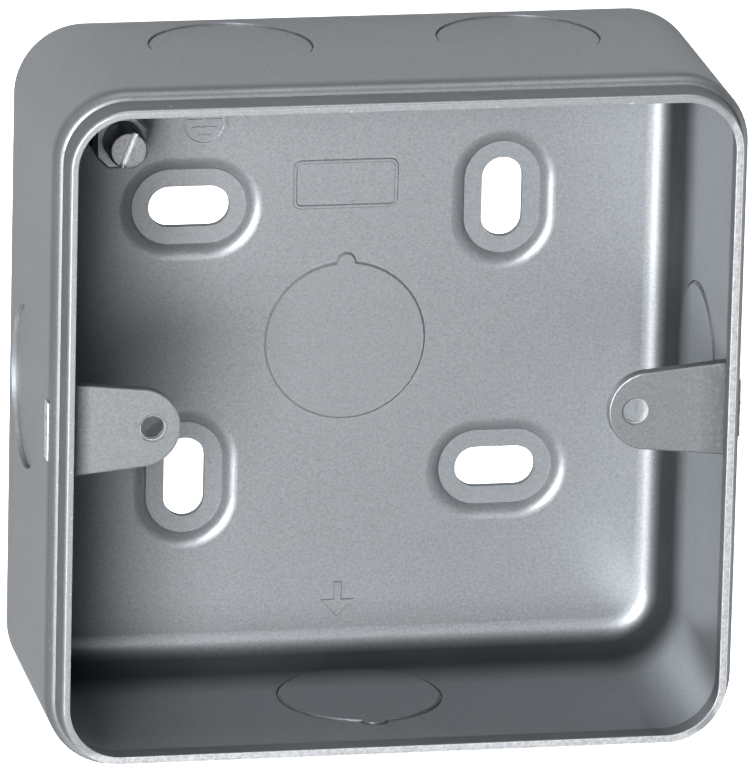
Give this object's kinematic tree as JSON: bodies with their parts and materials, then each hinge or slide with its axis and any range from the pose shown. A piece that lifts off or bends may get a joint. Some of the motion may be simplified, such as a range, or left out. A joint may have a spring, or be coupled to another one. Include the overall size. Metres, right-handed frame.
{
  "type": "surface grid box",
  "caption": "Square steel box for mounting on a surface, open at the front, with round knockouts, slotted fixing holes, tapped accessory lugs and an earth terminal.",
  "frame": {"origin": "centre of the box in the plane of the four pressed pads on which its back stands", "axes": "+Z out of the open mouth, +X from the lug beside the earth terminal to the other lug, +Y towards the wall with the pair of knockouts"},
  "size_m": [0.0866, 0.086, 0.041],
  "materials": {
    "shell_paint": "semi-gloss silver-grey paint on steel",
    "lug_paint": "semi-gloss silver-grey paint on steel",
    "nickel": "bright nickel plate"
  },
  "bodies": {
    "box": {"box_shell": "shell_paint", "lug_left": "lug_paint", "lug_right": "lug_paint", "earth_terminal": "nickel"},
    "pinch_screw": {"earth_screw": "nickel"}
  },
  "joints": [
    {"name": "earth_screw_travel", "type": "slide", "parent": "box", "child": "pinch_screw", "axis": [0, 0, -1], "range_m": [0, 0.0024]}
  ]
}
